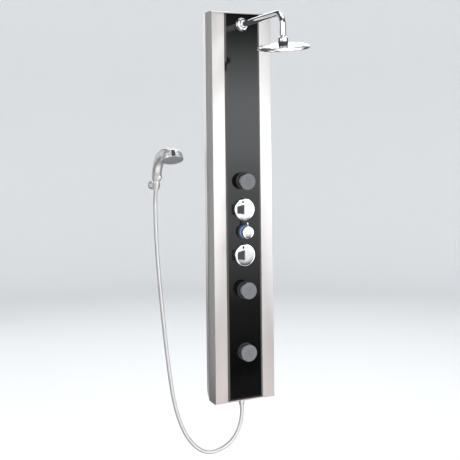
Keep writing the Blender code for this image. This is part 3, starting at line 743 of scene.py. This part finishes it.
def nozzles(stands_at, rings, foot, tip, height):
    """Small soft nozzles, one in the middle and the rest in circles: rings holds (radius, count) pairs.

    stands_at(radius) is the height of the face there. Each nozzle's hole is shallow, and its floor has the
    second material, a dark one that is painted shade for the deep bore.
    """
    work = bmesh.new()
    spots = [(0, 0)]
    for radius, count in rings:
        spots += [(radius * math.cos(2 * math.pi * k / count), radius * math.sin(2 * math.pi * k / count))
                  for k in range(count)]
    sides = 12
    for x, y in spots:
        z0 = stands_at(math.hypot(x, y))
        rows = [(foot, z0), (foot, z0 + 0.25 * height), (tip, z0 + height), (0.55 * tip, z0 + height),
                (0.50 * tip, z0 + 0.35 * height)]
        loops = [[work.verts.new((x + r * math.cos(2 * math.pi * k / sides),
                                  y + r * math.sin(2 * math.pi * k / sides), z)) for k in range(sides)]
                 for r, z in rows]
        for one, two in zip(loops, loops[1:]):
            for k in range(sides):
                work.faces.new((one[k], one[(k + 1) % sides], two[(k + 1) % sides], two[k]))
        work.faces.new(loops[0])
        # The hole's shallow floor takes the dark second material: painted shade for the bore behind it.
        work.faces.new(loops[-1]).material_index = 1
    return work


def make_rain_head():
    """The domed nut, fluted collar, shallow dome and nozzle plate, all leaning together."""
    lean_axis = Vector((0, 0, 1)).cross(LEAN_TOWARDS)
    place = Matrix.Translation(head_pivot()) @ Quaternion(lean_axis, HEAD_LEAN).to_matrix().to_4x4()
    foot, nut_top, collar_foot = -0.0080, 0.0065, -0.0187
    top, rim = collar_foot - GAP, HEAD_RADIUS
    plate = rim - 0.0035
    show("domed_nut", lathe([
        (0.0102, nut_top), (0.0136, 0.0050), (0.0162, 0.0025), (0.0172, -0.0006), (0.0175, -0.0028),
        (0.0175, foot), *ball_arc(0.0110, foot, nut_top),
    ], 72, 0.0006), "chrome", "swivel_nut", place=place)

    def fluted(angle, radius, height):
        if radius > 0.0168 and -0.0172 < height < -0.0098:
            return radius - 0.0005 * (0.5 + 0.5 * math.cos(angle * 36)) ** 2, height
        return radius, height

    show("fluted_collar", lathe([
        (0.0165, foot - GAP), (0.0172, -0.0090), (0.0172, -0.0100), (0.0172, -0.0170), (0.0172, -0.0180),
        (0.0165, collar_foot), (0.0075, collar_foot), (0.0075, foot - GAP),
    ], 216, 0.0003, fluted), "black", "swivel_collar", place=place)
    show("polished_head", lathe([
        (0.0168, top), (0.0180, top - 0.0008), (0.0600, top - 0.0022), (0.0800, top - 0.0046),
        (0.0880, top - 0.0078), (0.0912, top - 0.0104), (rim, top - 0.0122), (rim, top - 0.0142),
        (rim - 0.0012, top - 0.0160), (rim - 0.0032, top - 0.0160), (rim - 0.0032, top - 0.0120),
        (0.0850, top - 0.0085), (0.0600, top - 0.0046), (0.0065, top - 0.0029), (0.0065, top),
    ], 144, 0.0008), "satin", "head_shell", place=place)
    show("spray_face", lathe([
        (0, top - 0.0125), (plate, top - 0.0125), (plate, top - 0.0150), (0.0860, top - 0.0158),
        (0.0800, top - 0.0152), (0.0300, top - 0.0160), (0, top - 0.0162),
    ], 120, 0.0006), "spray", "head_faceplate", place=place)
    face, spacing, circles = top - 0.0154, 0.0095, 8
    rings = [(spacing * i, 6 * i) for i in range(1, circles + 1)]
    work = nozzles(lambda r: -face, rings, 0.0019, 0.0013, 0.0026)
    bmesh.ops.transform(work, matrix=Matrix.Rotation(math.pi, 4, "X"), verts=work.verts)
    # The dark second look on the nozzle holes' floors is painted shade.
    show("head_nozzles", closed(work), ("rubber", "seal"), body="rain_head", place=place)


make_arm()
make_rain_head()


# Body jets

def make_jet(number, height, turn, raised):
    """A black ring on the glass, and the trumpet nozzle whose ball turns in it."""
    name, lip = f"jet_{number}", FRONT + 0.0100
    bore = [(radius, JET_OUT + out) for radius, out in ball_arc(0.0244, 0.0070, FRONT - JET_OUT, 6)]
    show(f"{name}_bezel", lathe([
        (0.0312, lip), (0.0333, lip - 0.0022), (0.0335, FRONT), *reversed(bore), (0.0288, lip),
    ], 96, 0.0009), "black", f"{name}_ring", place=placed(on_wall(0, height), OUTWARD))
    place = placed(on_wall(0, height, JET_OUT), (math.pi / 2 - raised, 0, turn))
    outer = [
        (0, 0.0440), (0.0130, 0.0440), (0.0140, 0.0446), (0.0180, 0.0446), (0.0290, 0.0434), (0.0313, 0.0420),
        (0.0315, 0.0408), (0.0306, 0.0394), (0.0262, 0.0345), (0.0228, 0.0298), (0.0204, 0.0250),
        (0.0188, 0.0205),
    ]
    inner = [(0.0090, -0.0180), (0.0090, 0.0300), (0, 0.0300)]
    show(f"{name}_trumpet", lathe([*outer, *ball_arc(0.024, 0.0155, -0.0180), *inner], 96, 0.0007),
         "jet", f"{name}_nozzle", place=place)

    def mouth(radius):
        return 0.0441 if radius < 0.013 else 0.0443 - 0.11 * (radius - 0.019)

    work = nozzles(mouth, [(0.0085, 6), (0.0205, 12)], 0.0021, 0.0015, 0.0017)
    # The dark second look on the spouts' hole floors is painted shade.
    show(f"{name}_spouts", closed(work), ("stripe", "seal"), body=name, place=place)


for number, (height, rest) in enumerate(zip(JETS_UP, JET_REST), 1):
    make_jet(number, height, *rest)


# Controls

def drop_symbol(work, middle, scale, thick):
    """A raised water drop: a circle drawn out to a point at its top."""
    sides, outline = 20, []
    for k in range(sides):
        angle = 2 * math.pi * k / sides
        tall = 0.75 * max(0.0, math.sin(angle)) ** 6
        outline.append((math.cos(angle) * (1 - 0.25 * tall), math.sin(angle) + tall))
    rows = [[work.verts.new(middle + Vector((x * scale, y * scale, h))) for x, y in outline]
            for h in (0, thick)]
    for k in range(sides):
        work.faces.new((rows[0][k], rows[0][(k + 1) % sides], rows[1][(k + 1) % sides], rows[1][k]))
    for row in rows:
        work.faces.new(row)


def spray_symbol(work, middle, scale, thick):
    """Three raised upright bars in the second material."""
    half = Vector((0.18 * scale, 0.95 * scale, thick / 2))
    old = set(work.faces)
    for aside in (-0.75, 0, 0.75):
        bar = middle + Vector((aside * scale, 0, thick / 2))
        box_in(work, bar - half, bar + half)
    for face in set(work.faces) - old:
        face.material_index = 1


def make_disc_knob(name, height):
    """A broad flat chrome disc on a low black plinth, with a drop and a spray marked near its top."""
    base_top = FRONT + 0.0020
    face = base_top + GAP + 0.0085
    place = placed(on_wall(0, height), OUTWARD)
    show(f"{name}_plinth", lathe([(0.0380, base_top), (0.0380, FRONT), (0.0060, FRONT), (0.0060, base_top)],
                                 96, 0.0004), "black", f"{name}_base", place=place)
    show(f"{name}_disc", lathe([
        (0, face), (0.0200, face - 0.00001), (0.0360, face - 0.00005), (0.0392, face - 0.0004),
        (0.0415, face - 0.0013), (0.0427, face - 0.0028), (KNOB_RADIUS, face - 0.0042),
        (KNOB_RADIUS, base_top + GAP),
        (0.0050, base_top + GAP), (0.0050, face - 0.0030), (0, face - 0.0030),
    ], 120, 0.0008), "chrome", f"{name}_knob", place=place)
    work = bmesh.new()
    aside, raised, sunk, thick = 0.0088, 0.0290, 0.0005, 0.0008
    drop_symbol(work, Vector((-aside, raised, face - sunk)), 0.0046, thick)
    spray_symbol(work, Vector((aside, raised, face - sunk)), 0.0040, thick)
    show(f"{name}_marks", closed(work), ("seal", "spray"), body=f"{name}_control", place=place)


def make_temperature_control():
    """The thermostat's knob: black plinth, blue band, fluted chrome handle and its lever pin."""
    base_top = FRONT + 0.0110
    dial_foot, dial_top = base_top + GAP, base_top + GAP + 0.0119
    face, hub = dial_top + GAP + 0.0162, 0.0112
    place = placed(on_wall(0, TEMPERATURE_UP), OUTWARD)
    show("temperature_plinth", lathe([
        (0.0285, base_top), (0.0297, base_top - 0.0020), (0.0300, FRONT), (0.0120, FRONT), (0.0120, base_top),
    ], 96, 0.0008), "black", "temperature_base", place=place)
    stripe = dial_top - 0.0016
    show("temperature_band", lathe([
        (0.0250, dial_top), (0.0250, stripe + 0.0001), (0.0250, stripe), (0.0250, dial_foot),
        (0.0120, dial_foot), (0.0120, dial_top),
    ], 96, 0, paint=lambda c: int(c.z > stripe and math.hypot(c.x, c.y) > 0.02)),
         ("blue", "white"), "temperature_dial", place=place)

    def grooved(angle, radius, height):
        if radius > 0.0228 and dial_top + 0.0035 < height < face - 0.0045:
            return radius - 0.0004 * (0.5 + 0.5 * math.cos(angle * 48)) ** 3, height
        return radius, height

    show("temperature_handle", lathe([
        (0, face), (0.0175, face - 0.0002), (0.0214, face - 0.0007), (0.0230, face - 0.0020),
        (0.0236, face - 0.0036), (0.0237, face - 0.0050), (0.0239, face - 0.0090),
        (0.0241, dial_top + 0.0040), (0.0241, dial_top + 0.0030), (0.0240, dial_top + GAP),
        (hub, dial_top + GAP), (hub, FRONT + 0.0006), (0.0050, FRONT + 0.0006), (0.0050, face - 0.0240),
        (0, face - 0.0240),
    ], 192, 0.0004, grooved), "chrome", "temperature_knob", place=place)
    work = bmesh.new()
    mark, half = Vector((0, 0.0170, face - 0.0002)), Vector((0.00055, 0.0023, 0.00025))
    box_in(work, mark - half, mark + half)
    show("temperature_marks", closed(work), "stripe", body="temperature_control", place=place)
    pin = on_wall(0, TEMPERATURE_UP + 0.0262, face - 0.0085)
    show("temperature_lever", lathe([
        (0, 0.0120), (0.0020, 0.0118), (0.0034, 0.0110), (0.0042, 0.0094), (0.0041, 0.0060), (0.0036, 0.0),
        (0, 0.0),
    ], 48, 0.0004), "chrome", "temperature_pin", place=placed(pin))


make_disc_knob("flow", FLOW_UP)
make_disc_knob("diverter", DIVERTER_UP)
make_temperature_control()


# Hose ends and wall bracket

def make_hose_ends():
    """The outlet's boss and nut, and the cone under the hand shower."""
    def knurled(angle, radius, height):
        if radius > 0.0108 and -0.0118 < height < -0.0020:
            return radius - 0.0005 * (0.5 + 0.5 * math.cos(angle * 24)) ** 2, height
        return radius, height

    place = placed(on_wall(0, 0, OUTLET_OUT))
    show("outlet_boss", lathe([
        (0, 0.0140), (0.0090, 0.0140), (0.0090, 0.0060), (0.0140, 0.0060), (0.0140, 0.0023),
        (0.0086, 0.0023), (0.0086, -0.0120), (0, -0.0120),
    ], 72, 0.0003), "chrome", "hose_outlet", place=place)
    nut = show("knurled_nut", lathe([
        (0.0100, -0.0004), (0.0110, -0.0016), (0.0110, -0.0025), (0.0110, -0.0112), (0.0109, -0.0122),
        (0.0100, -0.0170), (0.0086, -0.0215), (0.0082, -0.0230), (0.0082, -0.0270), (0, -0.0270),
        (0, -0.0124), (0.0089, -0.0124), (0.0089, -0.0004),
    ], 144, 0.0003, knurled), "chrome", "hose_nut", place=place)
    cone = show("hose_cone_polished", lathe([
        (0, 0.0167), (0.0121, 0.0167), (0.0125, 0.0150), (0.0125, 0.0130), (0.0108, -0.0110),
        (0.0098, -0.0140), (0.0090, -0.0180), (0.0084, -0.0200), (0, -0.0200),
    ], 72, 0.0006), "soft", "hose_cone",
        place=placed(on_wall(BRACKET_X, BRACKET_UP, HOLDER_OUT), (HOLDER_LEAN, 0, 0)))


def make_bracket():
    """The flared wall flange, and the stout post with its open cup."""
    wall = placed(on_wall(BRACKET_X, BRACKET_UP), OUTWARD)
    show("flared_flange", lathe([
        (0, 0.0080), (0.0124, 0.0080), (0.0136, 0.0066), (0.0148, 0.0046), (0.0158, 0.0024), (0.0160, 0.0014),
        (0.0160, 0), (0, 0),
    ], 72, 0.0005), "soft", "bracket_flange", place=wall)
    post = lathe([
        (0, 0.0450), (0.0118, 0.0450), (0.0114, 0.0300), (0.0114, 0.0250), (0.0117, 0.0190),
        (0.0124, 0.0135), (0.0138, 0.0083), (0, 0.0083),
    ], 72, 0.0004)
    cup = lathe([
        (0, 0.0130), (0.0150, 0.0130), (0.0158, 0.0122), (0.0158, 0.0110), (0.0149, 0.0080),
        (0.0145, 0.0), (0.0142, -0.0090), (0.0138, -0.0104), (0.0130, -0.0110), (0, -0.0110),
    ], 72, 0.0004)
    seat = placed(on_wall(BRACKET_X, BRACKET_UP, HOLDER_OUT), (HOLDER_LEAN, 0, 0))
    bore = lathe([(0, 0.0300), (0.0141, 0.0300), (0.0106, -0.0200), (0, -0.0200)], 72, 0)
    slot = bmesh.new()
    box_in(slot, (-0.0082, -0.040, -0.020), (0.0082, 0, 0.020))
    joined = carved(cup, [(post, wall)], "UNION", seat)
    show("open_holder", carved(joined, [(bore, None), (closed(slot), None)]), "soft", "handset_holder",
         place=seat, sharp=30)


make_hose_ends()
make_bracket()


# Hand shower

def make_handset():
    """The curved handle and domed head, with the selector ring, its tab and the spray plate."""
    face = on_wall(BRACKET_X, FACE_UP, FACE_OUT)
    looks_down = (math.pi / 2 + FACE_DOWN, 0, FACE_TURN)
    head_place = placed(face, looks_down)
    route = ((BRACKET_X, -0.0513, -0.4921), (BRACKET_X, -0.0562, -0.4700), (BRACKET_X, -0.0655, -0.4450),
             (BRACKET_X, -0.0805, -0.4220), (BRACKET_X, -0.1030, -0.4030), (BRACKET_X, -0.1335, -0.3910),
             (BRACKET_X, -0.1700, -0.3865), (BRACKET_X, -0.2110, -0.3890))
    radii = (0.0158, 0.0182, 0.0186, 0.0185, 0.0178, 0.0168, 0.0160, 0.0160)
    path = even_path(smooth_path(route, 0.004), 0.002)
    total = path[-1][1]
    ridge_towards = math.radians(334)

    def handle(distance, angle):
        share = distance / total * (len(radii) - 1)
        i = min(int(share), len(radii) - 2)
        t = share - i
        t = t * t * (3 - 2 * t)
        reach = radii[i] * (1 - t) + radii[i + 1] * t
        if distance < 0.002:
            reach -= 0.0012 * (1 - distance / 0.002)
        across = (angle - math.pi) / 0.80
        along = (distance - 0.062) / 0.040
        oval = math.sqrt(across * across + along * along)
        if oval < 1:
            reach -= 0.0007 * min(1.0, (1 - oval) / 0.10)
        ridge = math.exp(-(((distance - 0.016) / 0.007) ** 2))
        ridge *= max(0.0, math.cos(angle - ridge_towards)) ** 3
        return reach + 0.0050 * ridge

    body = swept(path, handle, 72)
    dome = lathe([
        (0, -0.0080), (0.0352, -0.0080), (0.0354, -0.0097), (0.0374, -0.0105), (0.0376, -0.0125),
        (0.0371, -0.0163),
        (0.0350, -0.0220), (0.0310, -0.0277), (0.0248, -0.0324), (0.0168, -0.0358),
        (0.0084, -0.0375), (0, -0.0380),
    ], 120, 0.0006)
    data = carved(body, [(dome, head_place)], "UNION")
    show("handset_shell", data, "soft", "handset_body", sharp=40)
    show("selector_rim", lathe([
        (0.0366, 0.0012), (0.0380, 0.0010), (0.0389, -0.0006), (0.0390, -0.0030), (0.0388, -0.0068),
        (0.0382, -0.0077), (0.0354, -0.0077), (0.0354, 0.0012),
    ], 120, 0.0005), "soft", "spray_selector", place=head_place)
    show("selector_tab", make_tab(), "seal", body="spray_ring",
         place=head_place @ Matrix.Rotation(TAB_TURN, 4, "Z"))
    show("handset_spray_face", lathe([
        (0, 0.0012), (0.0120, 0.0014), (0.0280, 0.0014), (0.0300, 0.0008), (0.0335, 0.0008),
        (0.0347, -0.0004), (0.0349, -0.0077), (0, -0.0077),
    ], 120, 0.0005), "spray", "spray_plate", place=head_place)
    work = nozzles(lambda r: 0.0012, [(0.0075, 8), (0.0140, 12), (0.0205, 18), (0.0262, 24)],
                   0.0014, 0.0010, 0.0015)
    # The dark second look on the nozzle holes' floors is painted shade.
    show("handset_nozzles", closed(work), ("rubber", "seal"), body="handset", place=head_place)


def make_tab():
    """The dark selector tab: a strip that runs up the rim, over the groove and onto the dome."""
    width, steps = 0.0068, 10
    outer = [(0.0396, 0.0008), (0.0410, -0.0006), (0.0413, -0.0080), (0.0404, -0.0148), (0.0390, -0.0185),
             (0.0366, -0.0232)]
    inner = [(0.0352, -0.0232), (0.0374, -0.0180), (0.0380, -0.0145), (0.0391, -0.0078), (0.0391, 0.0002)]
    loop = softened([*outer, *inner], 0.0006)
    work = bmesh.new()
    rows = []
    for i in range(steps + 1):
        share = 2 * i / steps - 1
        edge = 0.0009 * max(0.0, abs(share) - 0.8) / 0.2
        angle = share * width / 0.040
        rows.append([work.verts.new(((r - edge) * math.cos(angle), (r - edge) * math.sin(angle), h))
                     for r, h in loop])
    count = len(loop)
    for one, two in zip(rows, rows[1:]):
        for k in range(count):
            work.faces.new((one[k], one[(k + 1) % count], two[(k + 1) % count], two[k]))
    for row in (rows[0], rows[-1]):
        work.faces.new(row)
    return closed(work)


make_handset()


# Everything behind and inside keeps its CAD shape, with its own material

for node, piece in frame["nodes"].items():
    if not piece.hide_render:
        piece.data.materials.clear()
        piece.data.materials.append(LOOKS[SLOT_LOOKS[SLOT_OF[node]]])
        for face in piece.data.polygons:
            face.material_index = 0

bpy.context.view_layer.update()
